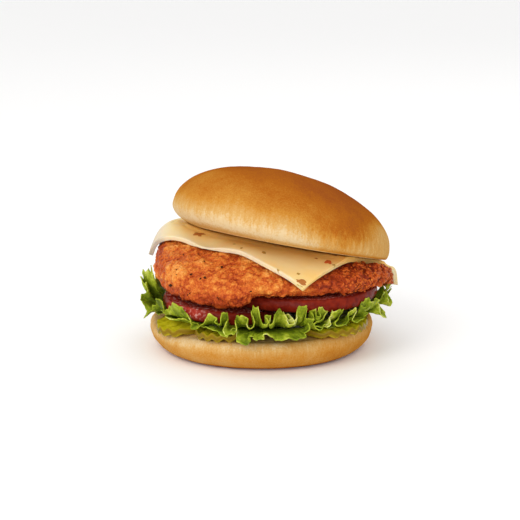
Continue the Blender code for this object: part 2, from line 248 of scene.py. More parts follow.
def bun_crust(name):
    """Baked crust coloured by how baked it is, with a painted highlight and painted shading added to that, and open
    crumb where its cut value is 1.
    """
    material, tree, shader = new_material(name, Roughness=0.5, Specular_IOR_Level=0.0)
    mottle = sums(tree, "MULTIPLY", sums(tree, "SUBTRACT", grain(tree, 5.0, 4.0), 0.5), 0.22)
    specks = sums(tree, "MULTIPLY", sums(tree, "SUBTRACT", grain(tree, 0.7, 3.0), 0.5), 0.42)
    creases = sums(tree, "MULTIPLY", sums(tree, "SUBTRACT", grain(tree, 0.8, 3.0, (1.0, 1.0, 8.0)), 0.5), 0.45)
    creases = sums(tree, "MULTIPLY", creases, kept(tree, "wrinkled"))
    baked = sums(tree, "ADD", sums(tree, "ADD", kept(tree, "bake"), mottle), sums(tree, "ADD", specks, creases))
    crust = ramp(tree, baked, CRUST_COLOURS)
    crumb = ramp(tree, grain(tree, 1.6, 4.0), ((0.3, (0.56, 0.31, 0.10)), (0.6, CRUMB_COLOUR)))
    tree.links.new(blend_colours(tree, kept(tree, "cut"), crust, crumb), shader.inputs["Base Color"])
    pores = sums(tree, "ADD", grain(tree, 0.7, 3.0), sums(tree, "MULTIPLY", grain(tree, 2.4, 2.0), 1.6))
    relief(tree, shader, pores, 0.20, 0.7)
    return material


def pressed_down(x, y):
    """How far the rim of the heel, and the left chip on it, hang lower than the rest."""
    direction = np.degrees(np.arctan2(y, x)) % 360
    return HEEL_PRESSED * smooth(44.0, 55.0, np.hypot(x, y)) * bump(direction - 212.0, 14.0)


heel_rows = []  # distance from the middle, height, cut face
for out in np.linspace(3.0, HEEL_BASE_RADIUS - 3.0, 9):
    heel_rows.append((out, 0.0, 0.0))
for a in np.linspace(0.0, math.pi / 2, 26):
    heel_rows.append((mix(HEEL_BASE_RADIUS, HEEL_RADIUS, math.sin(a)), HEEL_WIDEST_AT * (1 - math.cos(a)), 0.0))
for a in np.linspace(0.0, math.pi / 2, 14)[1:]:
    out = mix(HEEL_CUT_RADIUS, HEEL_RADIUS, math.cos(a))
    heel_rows.append((out, mix(HEEL_WIDEST_AT, HEEL_HEIGHT, math.sin(a)), 0.0))
for out in np.linspace(HEEL_CUT_RADIUS - 0.8, 3.0, 34):
    heel_rows.append((out, HEEL_HEIGHT, smooth(50.6, 49.0, out)))
heel_rows = np.array(heel_rows)
turn = round_of(BUN_COLUMNS)
out, up, cut = (np.repeat(column, BUN_COLUMNS) for column in heel_rows.T)
t = np.tile(turn, len(heel_rows))
out = out * (1 + 0.005 * (np.sin(2 * t + 0.7) + np.sin(5 * t)))
points = np.stack([out * np.cos(t), out * np.sin(t), up], axis=1)
side = smooth(0.0, 2.0, up) * (1 - cut)
wrinkled = smooth(5.0, 12.0, up) * (1 - cut)
around = np.stack([HEEL_RADIUS * np.cos(t), HEEL_RADIUS * np.sin(t), up * 0.16], axis=1)
swell = 0.35 * lumps(points, 14.0) * side + 0.34 * lumps(around, 2.6) * wrinkled + 0.14 * lumps(points, 3.0) * side
crumb = cut * (0.25 * lumps(points, 2.2) - 0.12)
points[:, 0] += swell * np.cos(t)
points[:, 1] += swell * np.sin(t)
points[:, 2] += np.where(cut > 0, crumb, 0.0)
points[:, 2] -= pressed_down(points[:, 0], points[:, 1]) * smooth(6.0, 14.0, up)
# Paler along the upper edge, most at the front: a painted highlight. Darker towards the right: painted shade.
bake = 0.50 - 0.28 * smooth(7.0, 13.0, up) * (0.7 + 0.3 * np.cos(t - math.radians(250))) + 0.09 * np.cos(t)
bake += 0.55 * (1 - smooth(0.3, 2.4, up)) + 0.12 * lumps(points, 9.0) + 0.09 * lumps(around, 1.7) * wrinkled
points = np.vstack([[0, 0, 0], points, [0, 0, HEEL_HEIGHT]])
heel = add_piece(
    "heel_bread",
    points,
    rows_of_faces(len(heel_rows), BUN_COLUMNS, poles=True),
    bun_crust("heel_crust"),
    bake=np.concatenate([[0.9], bake, [0.2]]),
    cut=np.concatenate([[0.0], cut, [1.0]]),
    wrinkled=np.concatenate([[0.0], wrinkled, [0.0]]),
)
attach(heel, "root")
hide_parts("bun_heel")


# Pickle chips: three slices of pickled cucumber, cut with a wavy blade, so that ridges run across
# both faces. They are wet and let some light through, and their skin is darker than their flesh.
PICKLES = {  # direction from the middle, distance, half length, half width, how brown its flesh is
    "pickle_left": (212.5, 44.4, 14.2, 13.0, 0.05),
    "pickle_middle": (245.0, 44.2, 13.2, 11.8, 0.40),
    "pickle_right": (321.0, 43.8, 20.2, 14.8, 0.10),
}
PICKLE_THICKNESS = 2.9
PICKLE_RIDGES = 5.2
PICKLE_RIDGE_HEIGHT = 0.75
PICKLE_LIFT = 0.45
PICKLE_COLUMNS = 180
PICKLE_FLESH = ((0.3, (0.40, 0.340, 0.006)), (0.55, (0.54, 0.470, 0.012)), (0.8, (0.66, 0.56, 0.03)))
PICKLE_SKIN = (0.20, 0.120, 0.005)

pickle_look, tree, shader = new_material("pickle", Roughness=0.25, Specular_IOR_Level=0.08)
shader.inputs["Subsurface Weight"].default_value = 0.25
shader.inputs["Subsurface Radius"].default_value = (0.9, 0.8, 0.2)
shader.inputs["Subsurface Scale"].default_value = 2.0 * MM
flesh = ramp(tree, grain(tree, 2.6, 3.0), PICKLE_FLESH)
tree.links.new(blend_colours(tree, kept(tree, "skin"), flesh, PICKLE_SKIN), shader.inputs["Base Color"])
relief(tree, shader, grain(tree, 1.2, 3.0), 0.25, 0.5)

for name, (direction, distance, half_length, half_width, brown) in PICKLES.items():
    rows = []  # share of the way out, height share, skin
    for share in np.linspace(0.05, 0.95, 16):
        rows.append((share, 0.0, 0.0))
    for a in np.linspace(-math.pi / 2, math.pi / 2, 11):
        rows.append((0.965 + 0.035 * math.cos(a), 0.5 + 0.5 * math.sin(a), 0.25 + 0.75 * math.cos(a)))
    for share in np.linspace(0.95, 0.05, 16):
        rows.append((share, 1.0, 0.1 * smooth(0.8, 0.95, share)))
    rows = np.array(rows)
    share, up, skin = (np.repeat(column, PICKLE_COLUMNS) for column in rows.T)
    t = np.tile(round_of(PICKLE_COLUMNS), len(rows))
    wobble = 1 + 0.02 * np.sin(3 * t + direction) + 0.012 * np.sin(7 * t)
    along = share * wobble * half_length * np.cos(t)
    across = share * wobble * half_width * np.sin(t)
    ridge = PICKLE_RIDGE_HEIGHT * np.sin(2 * math.pi * along / PICKLE_RIDGES + 0.8)
    low = HEEL_HEIGHT + PICKLE_LIFT + PICKLE_RIDGE_HEIGHT
    points = np.stack([along, across, low + ridge + up * PICKLE_THICKNESS], axis=1)
    points = np.vstack([[0, 0, low], points, [0, 0, low + PICKLE_THICKNESS]])
    points[:, 2] += 0.18 * lumps(points, 3.0)
    turn_by = math.radians(direction + 90.0)
    cos, sin = math.cos(turn_by), math.sin(turn_by)
    middle = (distance * math.sin(turn_by), -distance * math.cos(turn_by))
    x = middle[0] + points[:, 0] * cos - points[:, 1] * sin
    y = middle[1] + points[:, 0] * sin + points[:, 1] * cos
    points = np.stack([x, y, points[:, 2] - pressed_down(x, y)], axis=1)
    chip = add_piece(
        name + "_chip",
        points,
        rows_of_faces(len(rows), PICKLE_COLUMNS, poles=True),
        pickle_look,
        skin=np.concatenate([[brown], mix(brown, 1.0, skin), [brown]]),
    )
    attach(chip, "root")
    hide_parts(name)


# Tomato slices: two thick slices of a ripe tomato, glossy red skin round their rims, and on their
# faces a wet pale wall and softer flesh. The right one lies half on the left one.
TOMATOES = {  # middle across and along, radius, height of the upper face there, fall to the right
    "tomato_left": (-18.7, -17.0, 29.0, 27.2, 0.085),
    "tomato_right": (19.2, -11.5, 36.5, 33.5, 0.0),
}
TOMATO_THICKNESS = 6.0
TOMATO_COLUMNS = 260
TOMATO_SKIN = ((0.35, (0.13, 0.008, 0.004)), (0.7, (0.22, 0.019, 0.007)))
TOMATO_FLESH = ((0.40, (0.30, 0.022, 0.012)), (0.55, (0.40, 0.055, 0.035)), (0.68, (0.66, 0.32, 0.27)))

tomato_look, tree, shader = new_material("tomato", Roughness=0.16, Specular_IOR_Level=0.06)
shader.inputs["Subsurface Weight"].default_value = 0.12
shader.inputs["Subsurface Radius"].default_value = (1.0, 0.25, 0.1)
shader.inputs["Subsurface Scale"].default_value = 1.5 * MM
skin_colour = ramp(tree, grain(tree, 3.0, 3.0), TOMATO_SKIN)
flesh_colour = ramp(tree, grain(tree, 1.3, 2.0), TOMATO_FLESH)
tree.links.new(blend_colours(tree, kept(tree, "skin"), flesh_colour, skin_colour), shader.inputs["Base Color"])
relief(tree, shader, grain(tree, 1.4, 3.0), 0.4, 0.6)

for name, (centre_x, centre_y, radius, height, fall) in TOMATOES.items():
    rows = []  # distance from the middle, height share, on the rim
    for share in np.linspace(0.05, 0.93, 22):
        rows.append((share * radius, 0.0, 0.0))
    for a in np.linspace(-math.pi / 2, math.pi / 2, 15):
        rows.append((radius - 1.4 + 1.4 * math.cos(a), 0.5 + 0.5 * math.sin(a) * abs(math.sin(a)) ** 0.3, 1.0))
    for share in np.linspace(0.93, 0.05, 22):
        rows.append((share * radius, 1.0, 0.0))
    rows = np.array(rows)
    out, up, rim = (np.repeat(column, TOMATO_COLUMNS) for column in rows.T)
    t = np.tile(round_of(TOMATO_COLUMNS), len(rows))
    out = out * (1 + 0.012 * np.sin(5 * t + 1))
    x, y = centre_x + out * np.cos(t), centre_y + out * np.sin(t)
    z = height - fall * (x - centre_x) - (1 - up) * TOMATO_THICKNESS
    points = np.stack([x, y, z], axis=1)
    points[:, 2] += 0.2 * lumps(points, 5.0) * (1 - rim)
    bulge = 0.25 * lumps(points, 4.0) * rim
    points[:, 0] += bulge * np.cos(t)
    points[:, 1] += bulge * np.sin(t)
    bare = bump((np.degrees(t) % 360 - 232.0), 13.0) * (name == "tomato_left") * smooth(0.1, 0.4, up)
    skin = rim * (1 - 1.15 * bare).clip(0, 1)
    middle = [[centre_x, centre_y, height - TOMATO_THICKNESS], [centre_x, centre_y, height]]
    piece = add_piece(
        name + "_slice",
        np.vstack([middle[:1], points, middle[1:]]),
        rows_of_faces(len(rows), TOMATO_COLUMNS, poles=True),
        tomato_look,
        skin=np.concatenate([[0.0], skin, [0.0]]),
    )
    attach(piece, "root")
    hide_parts(name)


# The lettuce leaf: one frilly green leaf between the pickles and the tomato. Its margin has grown
# much longer than its blade, so it stands in tight folds that curl over, with uneven teeth. A
# second, shorter frill of it lies underneath. Its paler margin is partly its own colour and partly a
# painted highlight, and its inner blade, the inner part of its folds and its upper right end are
# darker with painted shade.
LEAF_THICKNESS = 0.4
LEAF_ROOT = (43.0, 20.6)  # distance and height where the folds begin
LEAF_BLADE = (0.5, 12.0, 22.0, 28.0, 32.0, 35.0, 38.0, 40.5)  # distances of the flat blade's rows inside them
LEAF_STEP = 0.8
UPPER_FOLDS = [  # direction, height, distance and half width of each fold, up and down in turn
    (176, 24, 56.0, 2.0), (186, 41, 53.5, 2.4), (181, 34, 59.0, 3.5), (187, 32, 56.5, 1.5),
    (191, 26, 59.5, 3.0), (198, 17.5, 58.5, 2.5), (208, 30, 55.5, 3.8), (215.5, 25, 56.5, 1.8),
    (226, 30, 56.5, 6.0), (236.5, 19.5, 57.0, 3.0), (245, 28.5, 55.0, 2.9), (248.5, 24, 56.0, 1.6),
    (252, 29.5, 55.0, 1.7), (255.5, 20, 59.0, 3.0), (260.5, 29, 55.5, 3.0), (265, 24, 57.5, 1.8),
    (266.5, 33, 52.8, 1.7), (271.5, 25, 57.0, 1.6), (273, 29.5, 54.5, 1.4), (274.5, 25, 56.5, 1.2),
    (279, 32, 54.0, 2.6), (284, 24, 56.0, 1.6), (282.5, 30.5, 52.0, 1.8), (286, 26, 56.0, 1.2),
    (290, 33, 55.0, 2.4), (293, 26, 57.5, 2.4), (296, 30, 54.0, 1.8), (297.5, 27, 57.0, 1.4),
    (301, 30.5, 55.5, 2.8), (299, 21.5, 58.5, 4.8), (305, 26, 57.0, 1.6), (308, 29.5, 57.5, 3.6),
    (309, 21.5, 59.5, 4.0), (317, 28.5, 59.0, 3.2), (321.5, 21.5, 60.0, 5.6), (325, 32, 59.5, 2.8),
    (331, 28.5, 61.0, 2.4), (336, 29.5, 60.5, 2.8), (340, 18.5, 62.5, 3.6), (345, 25, 59.5, 2.0),
    (350, 31, 61.0, 4.2), (354, 20.5, 64.0, 2.6), (361, 31, 60.0, 2.4),
]
LOWER_FOLDS = [
    (211, 24, 54.5, 2.0), (220, 21.8, 56.5, 4.0), (228, 24, 55.0, 1.6), (238, 21, 54.0, 2.0),
    (247, 21, 56.0, 1.5), (253, 18.5, 58.0, 1.5), (257, 22.5, 56.0, 1.2), (262, 15.8, 60.0, 3.2),
    (265, 19.5, 58.0, 1.2), (268.5, 18.2, 59.5, 2.6), (272, 20.0, 58.0, 1.5), (282.5, 18.2, 60.5, 7.8),
    (290.5, 21.5, 60.0, 1.6), (293, 25.0, 57.5, 1.4), (297, 20.5, 58.5, 1.6), (302, 23, 57.0, 1.6),
]
LEAF_COLOURS = (
    (0.0, (0.040, 0.060, 0.003)),
    (0.35, (0.110, 0.150, 0.006)),
    (0.65, (0.255, 0.315, 0.016)),
    (0.85, (0.430, 0.470, 0.050)),
    (1.0, (0.620, 0.640, 0.190)),
)


def rest_of_folds(folds, count, low, high, reach):
    """The folds round the rest of the margin, uneven in place, width, height and distance."""
    draw = random.Random(count)
    start, end = folds[-1][0], folds[0][0] + 360.0
    step = (end - start) / (count + 1)
    for i in range(count):
        crest = i % 2 == 1
        direction = start + step * (i + 1 + draw.uniform(-0.2, 0.2))
        height = draw.uniform(*high) if crest else draw.uniform(*low)
        yield direction, height, draw.uniform(*reach) - 3.0 * crest, step * draw.uniform(0.4, 0.72)


def margin_of(folds):
    """Points (direction, height, distance) along a smooth margin round the heads of all the folds."""
    draw = random.Random(len(folds))
    stops = []
    for i, (direction, height, distance, half_width) in enumerate(folds):
        left_of, right_of = folds[i - 1][1], folds[(i + 1) % len(folds)][1]
        skew = draw.uniform(-0.4, 0.4) * half_width
        lean = draw.uniform(-0.6, 1.4)
        stops.append((direction - half_width, mix(height, left_of, 0.22), distance))
        stops.append((direction + skew, height, distance + lean))
        stops.append((direction + half_width, mix(height, right_of, 0.22), distance))
    turn_on = np.array((360.0, 0.0, 0.0))
    stops = np.array(stops)
    stops = np.vstack([stops[-1] - turn_on, stops, stops[0] + turn_on, stops[1] + turn_on])
    found = []
    for before, start, end, after in zip(stops, stops[1:], stops[2:], stops[3:]):
        steps = max(int(np.linalg.norm((end - start) * (1.0, 1.0, 1.0)) / LEAF_STEP), 2)
        u = np.arange(steps)[:, None] / steps
        bend = (2 * before - 5 * start + 4 * end - after) * u**2 + (3 * (start - end) + after - before) * u**3
        found.append(start + 0.5 * ((end - before) * u + bend))
    return np.concatenate(found)


def leaf_frill(folds, seed, rings, root_height, blade=()):
    """Points, faces, share of the way out and vein share of one frill, and of the flat blade inside it."""
    margin = margin_of(folds)
    columns = len(margin)
    width = 61
    spread = np.hanning(width) / np.hanning(width).sum()
    turns = np.concatenate([margin[-width:, 0] - 360.0, margin[:, 0], margin[:width, 0] + 360.0])
    root_turn = np.convolve(turns, spread, mode="same")[width:-width]
    along = LEAF_STEP * np.arange(columns)
    line = np.stack([along, 0 * along + seed, 0 * along], axis=1)
    line[:, 2] = 30.0 * smooth(columns - 40, columns, np.arange(columns))
    reach = np.hypot(margin[:, 1] - root_height, margin[:, 2] - LEAF_ROOT[0])
    teeth = 1 + (0.8 - 4.2 * np.abs(lumps(line, 4.0)) - 2.0 * np.abs(lumps(line, 1.9, 7.0))) / reach
    crest = smooth(18.0, 32.0, margin[:, 1])
    bend_height = root_height + mix(1.4, -0.8, crest)
    bend_out = mix(LEAF_ROOT[0], margin[:, 2], 0.8)
    bend_turn = mix(root_turn, margin[:, 0], 0.6)
    points, share_out, veins = [], [], []
    for out in blade:
        t = np.radians(root_turn)
        points.append(np.stack([out * np.cos(t), out * np.sin(t), 0 * t + root_height], axis=1))
        share_out.append(0 * t)
        veins.append(1 - smooth(0.0, 0.1, np.abs(lumps(points[-1], 11.0))))
    for v in np.linspace(0.0, 1.0, rings) ** 0.8:
        w = v * mix(1.0, teeth, v)
        a, b, c = (1 - w) ** 2, 2 * w * (1 - w), w**2
        t = np.radians(a * root_turn + b * bend_turn + c * margin[:, 0])
        out = a * LEAF_ROOT[0] + b * bend_out + c * margin[:, 2]
        up = a * root_height + b * bend_height + c * margin[:, 1]
        points.append(np.stack([out * np.cos(t), out * np.sin(t), up], axis=1))
        share_out.append(0 * t + v)
        veins.append(1 - smooth(0.0, 0.16, np.abs(lumps(line + (0, 9.0 * v, 0), 3.4, 3.0))))
    faces = rows_of_faces(rings + len(blade), columns)
    return np.concatenate(points), faces, np.concatenate(share_out), np.concatenate(veins)


def net_of(node):
    """A solid's surface, in millimetres, to find places on."""
    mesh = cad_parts[node].data
    return BVHTree.FromPolygons([v.co / MM for v in mesh.vertices], [tuple(f.vertices) for f in mesh.polygons])


def kept_outside(points, node, gap):
    """The points moved out of one of the solids, to this far off its surface."""
    net = net_of(node)
    low, high = (np.array(corner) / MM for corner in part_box(node))
    for i in np.flatnonzero(((points > low - gap) & (points < high + gap)).all(axis=1)):
        place, normal, _, _ = net.find_nearest(Vector(points[i]))
        if (Vector(points[i]) - place).dot(normal) < gap:
            points[i] = place + normal * gap


upper_folds = UPPER_FOLDS + list(rest_of_folds(UPPER_FOLDS, 34, (17.0, 21.0), (26.0, 31.0), (58.0, 60.0)))
lower_folds = LOWER_FOLDS + list(rest_of_folds(LOWER_FOLDS, 46, (18.0, 20.0), (21.0, 24.0), (52.0, 55.0)))
upper = leaf_frill(upper_folds, 3.0, 20, LEAF_ROOT[1], LEAF_BLADE)
lower = leaf_frill(lower_folds, 8.0, 13, LEAF_ROOT[1] - 1.2)
points = np.vstack([upper[0], lower[0]])
faces = upper[1] + [tuple(i + len(upper[0]) for i in face) for face in lower[1]]
edge, veins = np.concatenate([upper[2], lower[2]]), np.concatenate([upper[3], lower[3]])
away = points * (1, 1, 0) / np.hypot(points[:, 0], points[:, 1])[:, None]
loose = smooth(0.1, 0.6, edge)
points += away * ((0.6 * lumps(points, 3.0) + 0.35 * lumps(points, 1.5)) * loose)[:, None]
points[:, 2] += (0.6 * lumps(points, 2.6, 5.0) + 0.5 * lumps(points, 5.5, 9.0)) * loose
inside = smooth(43.0, 36.0, np.hypot(points[:, 0], points[:, 1]))
points[:, 2] += inside * (0.5 * lumps(points, 6.0) + (1.6 + 1.8 * lumps(points, 9.0, 3.0)) * smooth(-5.0, 20.0, points[:, 1]))
for node in ("bun_heel", "pickle_left", "pickle_middle", "pickle_right", "tomato_left", "tomato_right"):
    kept_outside(points, node, 0.7)
kept_outside(points, "chicken_fillet", 2.0)

leaf_look, tree, shader = new_material("lettuce", Roughness=0.42, Specular_IOR_Level=0.06)
shader.inputs["Subsurface Weight"].default_value = 0.3
shader.inputs["Subsurface Radius"].default_value = (0.6, 0.8, 0.1)
shader.inputs["Subsurface Scale"].default_value = 1.5 * MM
blotch = sums(tree, "MULTIPLY", sums(tree, "SUBTRACT", grain(tree, 5.0, 3.0), 0.5), 0.9)
spots = sums(tree, "MULTIPLY", sums(tree, "SUBTRACT", grain(tree, 1.1, 2.0), 0.5), 0.5)
tone = sums(tree, "ADD", sums(tree, "ADD", kept(tree, "pale"), blotch), spots)
tree.links.new(ramp(tree, tone, LEAF_COLOURS), shader.inputs["Base Color"])
relief(tree, shader, sums(tree, "ADD", grain(tree, 1.0, 3.0), grain(tree, 2.4, 2.0)), 0.35, 0.7)
# Paler along the margin: partly the leaf's own pale edge and partly a painted highlight where the rim catches
# light. Darker in the inner blade, the inner part of the folds and at the upper right end: painted shade.
pale = 0.57 + 0.16 * smooth(0.96, 1.0, edge) + 0.14 * veins + 0.38 * lumps(points, 9.0, 2.0)
pale -= 0.34 * (1 - smooth(0.40, 0.9, edge)) + 0.25 * smooth(52.0, 58.0, points[:, 0]) * smooth(34.0, 40.0, points[:, 2])
leaf = add_piece("lettuce_frill", points, faces, leaf_look, pale=pale)
blade = leaf.modifiers.new("blade", "SOLIDIFY")
blade.thickness = LEAF_THICKNESS * MM
blade.offset = 0.0
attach(leaf, "root")
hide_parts("lettuce_leaf")


# The chicken fillet: one boneless piece in a coarse, well seasoned breading, fried until it is
# craggy and orange red. It is the solid's own shape, with the crust's lumps raised on it. Its colour
# holds painted shade in the crust's hollows and crevices, low down, on its right side and under the
# cheese's left corner, and painted highlights on its ridges.
CRUST_CELL = 0.66
CHEESE_GAP = 0.5  # left below the cheese, so that no lump of the crust comes through it
CHICKEN_COLOURS = (  # from the painted shade of the crust's hollows to the painted highlight on its ridges
    (0.0, (0.20, 0.020, 0.005)),
    (0.35, (0.42, 0.060, 0.010)),
    (0.6, (0.60, 0.135, 0.020)),
    (0.85, (0.73, 0.26, 0.044)),
    (1.0, (0.80, 0.345, 0.090)),
)


def solid_copy(name, node):
    """A copy of a solid's mesh, in one piece again where its edges were split."""
    copy = bpy.data.objects.new(name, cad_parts[node].data.copy())
    bpy.context.scene.collection.objects.link(copy)
    bm = bmesh.new()
    bm.from_mesh(copy.data)
    bmesh.ops.remove_doubles(bm, verts=bm.verts, dist=1e-6)
    bm.to_mesh(copy.data)
    bm.free()
    return copy


def settled(item):
    """The item's mesh with its modifiers applied, as points in millimetres, normals and faces. Removes the item."""
    shape = item.evaluated_get(bpy.context.evaluated_depsgraph_get()).to_mesh()
    points = np.empty(len(shape.vertices) * 3, np.float32)
    normals = np.empty(len(shape.vertices) * 3, np.float32)
    shape.vertices.foreach_get("co", points)
    shape.vertex_normals.foreach_get("vector", normals)
    faces = [tuple(face.vertices) for face in shape.polygons]
    bpy.data.objects.remove(item)
    return points.reshape(-1, 3).astype(float) / MM, normals.reshape(-1, 3).astype(float), faces


body = solid_copy("chicken_body", "chicken_fillet")
remesh = body.modifiers.new("cells", "REMESH")
remesh.mode = "VOXEL"
remesh.voxel_size = CRUST_CELL * MM
soften = body.modifiers.new("soften", "SMOOTH")
soften.iterations = 8
soften.factor = 0.5
points, normals, faces = settled(body)
flaky = smooth(38.0, 50.0, points[:, 0])
rise = 1.5 * np.abs(lumps(points, 6.0, 3.0)) + 1.3 * np.abs(lumps(points, 3.3, 7.0)) + 0.75 * np.abs(lumps(points, 1.7, 11.0))
rise = rise + 0.6 * lumps(points, 9.0, 15.0) - 1.0
rise += flaky * (1.6 * lumps(points, 3.6, 19.0) + 1.0 * lumps(points, 1.9, 23.0))
points = points + normals * rise[:, None]
cheese_over = net_of("cheese_slice")
for i in np.flatnonzero(points[:, 2] > 30.0):
    place = cheese_over.ray_cast(Vector((points[i, 0], points[i, 1], 20.0)), Vector((0, 0, 1)))[0]
    if place:
        points[i, 2] = min(points[i, 2], place.z - CHEESE_GAP)
# The crust's colour value: darker in the hollows and crevices, low down on the left and middle, on the right side
# and under the cheese's left corner, all painted shade, and lighter on the ridges, a painted highlight.
shade = 0.72 + 0.27 * rise + 0.12 * lumps(points, 12.0, 31.0)
shade -= 0.46 * smooth(2.0, 30.0, points[:, 0])
shade -= 0.54 * (1 - smooth(27.0, 43.0, points[:, 2])) * smooth(24.0, 0.0, points[:, 0])
crevice = 1 - smooth(0.0, 0.14, np.abs(lumps(points, 3.3, 7.0)))
shade -= 0.36 * crevice * smooth(-0.15, 0.25, lumps(points, 8.0, 41.0))
shade -= 0.40 * smooth(-43.0, -50.0, points[:, 0]) * smooth(38.0, 46.0, points[:, 2])

chicken_look, tree, shader = new_material("chicken_crust", Roughness=0.28, Specular_IOR_Level=0.1)
fine = sums(tree, "MULTIPLY", sums(tree, "SUBTRACT", grain(tree, 0.8, 3.0), 0.5), 0.95)
coarse = sums(tree, "MULTIPLY", sums(tree, "SUBTRACT", grain(tree, 2.6, 2.0), 0.5), 0.32)
tone = sums(tree, "ADD", sums(tree, "ADD", kept(tree, "shade"), fine), coarse)
tree.links.new(ramp(tree, tone, CHICKEN_COLOURS), shader.inputs["Base Color"])
relief(tree, shader, sums(tree, "ADD", grain(tree, 0.7, 3.0), grain(tree, 1.8, 2.0)), 0.9, 0.9)
chicken = add_piece("chicken_breading", points, faces, chicken_look, shade=shade)
chicken_points, chicken_normals, chicken_faces = points, normals, faces
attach(chicken, "root")
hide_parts("chicken_fillet")

# The breading's crumbs: loose flakes and grains that fried onto the crust, most of them at the thin
# right end, and cracked black pepper in the batter.
CRUMB_COUNT = 1700
PEPPER_SEEN = (  # place and size of the large grains at the front
    (-37.5, -24.0, 50.5, 1.1), (-30.0, -26.0, 51.0, 1.0), (-27.0, -33.0, 48.5, 1.1), (-18.5, -37.5, 47.5, 1.7),
    (-40.0, -33.5, 45.0, 0.9), (-33.0, -39.0, 44.5, 1.6), (-28.5, -42.5, 43.0, 1.1), (-26.5, -43.0, 43.5, 1.1),
    (-42.5, -35.0, 38.0, 1.8), (-45.5, -28.5, 34.5, 0.9), (-33.5, -43.0, 36.0, 1.1), (-34.5, -42.0, 35.0, 1.0),
    (-5.0, -51.0, 39.0, 1.3), (-20.0, -48.0, 34.0, 0.9), (-20.5, -48.0, 35.0, 0.7),
)
PEPPER_ELSEWHERE = 70


def grains(name, material, spots, flatness, seed):
    """One piece of many uneven grains, pressed flat against the surface, from spots of (place, normal, size)."""
    draw = random.Random(seed)
    bm = bmesh.new()
    bmesh.ops.create_icosphere(bm, subdivisions=2, radius=1.0)
    ball = np.array([vert.co for vert in bm.verts])
    ball_faces = np.array([[vert.index for vert in face.verts] for face in bm.faces])
    bm.free()
    points = []
    for place, normal, size in spots:
        turn = normal.to_track_quat("Z", "Y").to_matrix() @ Matrix.Rotation(draw.uniform(0, 6.28), 3, "Z")
        grown = 1 + 0.9 * lumps(ball, 0.6, draw.uniform(0, 99))
        shape = ball * (1.0, draw.uniform(0.4, 0.9), flatness) * grown[:, None] * 0.5 * size
        points.append(shape @ np.array(turn).T + np.array(place))
    faces = (ball_faces + len(ball) * np.arange(len(spots))[:, None, None]).reshape(-1, 3).tolist()
    piece = add_piece(name, np.concatenate(points), faces, material)
    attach(piece, "root")
    return piece


chicken_net = BVHTree.FromPolygons([Vector(p) for p in chicken_points.tolist()], chicken_faces)
draw = random.Random(41)
crumb_spots, pepper_spots = [], []
while len(crumb_spots) < CRUMB_COUNT:
    i = draw.randrange(len(chicken_points))
    x, y, z = chicken_points[i]
    normal = Vector(chicken_normals[i])
    covered = cheese_over.ray_cast(Vector((x, y, z)), Vector((0, 0, 1)), 3.0)[0]
    if covered or draw.random() > (1.0 if x > 38.0 else 0.14):
        continue
    size = draw.triangular(0.6, 2.4, 0.8) if x > 38.0 else draw.uniform(0.5, 1.2)
    crumb_spots.append((Vector((x, y, z)) + normal * 0.1 * size, normal, size))
while len(pepper_spots) < PEPPER_ELSEWHERE:
    i = draw.randrange(len(chicken_points))
    normal = Vector(chicken_normals[i])
    pepper_spots.append((Vector(chicken_points[i]) + normal * 0.05, normal, draw.uniform(0.35, 0.9)))
for x, y, z, size in PEPPER_SEEN:
    place, normal, _, _ = chicken_net.find_nearest(Vector((x, y, z)))
    pepper_spots.append((place + normal * 0.1, normal, size))
crumb_look, tree, shader = new_material("crumbs", Roughness=0.28, Specular_IOR_Level=0.1)
tone = sums(tree, "ADD", sums(tree, "MULTIPLY", grain(tree, 2.2, 3.0), 0.9), 0.05)
tree.links.new(ramp(tree, tone, CHICKEN_COLOURS), shader.inputs["Base Color"])
crumbs = grains("breading_crumbs", crumb_look, crumb_spots, 0.4, 5)
pepper_look, tree, shader = new_material("pepper", Roughness=0.5, Specular_IOR_Level=0.08)
tree.links.new(ramp(tree, grain(tree, 0.6), ((0.3, (0.02, 0.006, 0.003)), (0.7, (0.08, 0.02, 0.008)))), shader.inputs["Base Color"])
grains("pepper_grains", pepper_look, pepper_spots, 0.5, 6)


# The cheese slice: a square of pale cheese, softened by the hot chicken, so that it drapes over it
# and its corners hang down. Its colour holds painted shade, a deep amber, close to the crown, painted
# light further in under the crown's front on the left, and a pale rim on its left edges that is
# partly its own thin edge and partly a painted highlight.
# The first stop, a deep amber, colours the painted shade close to the crown.
CHEESE_COLOURS = (
    (0.0, (0.80, 0.42, 0.065)),
    (0.35, (0.76, 0.50, 0.165)),
    (0.65, (0.74, 0.59, 0.30)),
    (0.82, (0.71, 0.59, 0.39)),
    (1.0, (0.49, 0.420, 0.33)),
)
CROWN_GAP = 0.3  # left below the crown, which presses on the soft cheese
CROWN_REACH = 2.8  # the widest gap below the crown that the cheese still swells into

slab = solid_copy("slab", "cheese_slice")
bm = bmesh.new()
bm.from_mesh(slab.data)
bmesh.ops.join_triangles(bm, faces=bm.faces, angle_face_threshold=0.6, angle_shape_threshold=0.8)
crease = bm.edges.layers.float.new("crease_edge")
rim = bm.verts.layers.float.new("rim")
for line in bm.edges:
    if len(line.link_faces) == 2 and line.calc_face_angle() > 1.25:
        line[crease] = 0.72
        for vert in line.verts:
            vert[rim] = 1.0
bm.to_mesh(slab.data)
bm.free()
rounding = slab.modifiers.new("rounding", "SUBSURF")
rounding.levels = 3
rounding.render_levels = 3
shape = slab.evaluated_get(bpy.context.evaluated_depsgraph_get()).to_mesh()
cheese_rim = np.empty(len(shape.vertices), np.float32)
shape.attributes["rim"].data.foreach_get("value", cheese_rim)
points, normals, faces = settled(slab)
points += normals * (0.14 * lumps(points, 9.0) + 0.05 * lumps(points, 3.0))[:, None]
tucked = np.maximum(points[:, 0] - 56.0, 0.0)
corner = smooth(7.0, 11.0, tucked)
points[:, 2] -= 0.045 * tucked**2 * (1 - 0.45 * corner)
